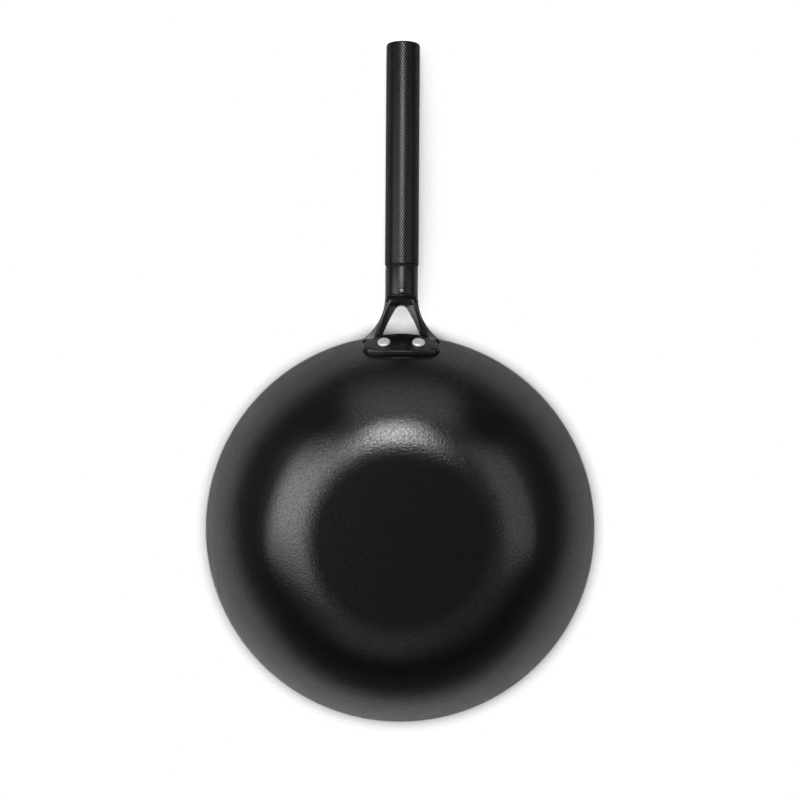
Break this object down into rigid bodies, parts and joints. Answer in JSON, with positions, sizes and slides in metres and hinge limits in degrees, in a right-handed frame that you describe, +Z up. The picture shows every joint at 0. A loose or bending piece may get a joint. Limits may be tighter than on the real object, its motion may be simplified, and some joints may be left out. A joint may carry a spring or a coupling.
{
  "type": "wok",
  "caption": "Flat-bottomed black steel wok with a riveted open-yoke bracket, a pinned collar and a straight knurled bar handle",
  "frame": {"origin": "centre of the flat base, on the surface that the wok stands on", "axes": "+Z up out of the bowl, +Y outwards along the handle, +X to the right when the wok is seen from the handle's side of the bowl looking along +Y"},
  "size_m": [0.3, 0.524, 0.0975],
  "materials": {
    "black_coated_steel": "satin",
    "black_casting": "semi_gloss",
    "bright_steel": "satin",
    "black_fibre": "matte",
    "black_aluminium": "knurled"
  },
  "bodies": {
    "root": {"bowl": "black_coated_steel", "bracket": "black_casting", "rivet_left": "bright_steel", "rivet_right": "bright_steel", "collar": "black_casting", "collar_pin": "black_casting", "heat_washer": "black_fibre", "grip_tube": "black_aluminium", "end_plug": "black_aluminium", "tie_bolt": "bright_steel"}
  },
  "joints": []
}
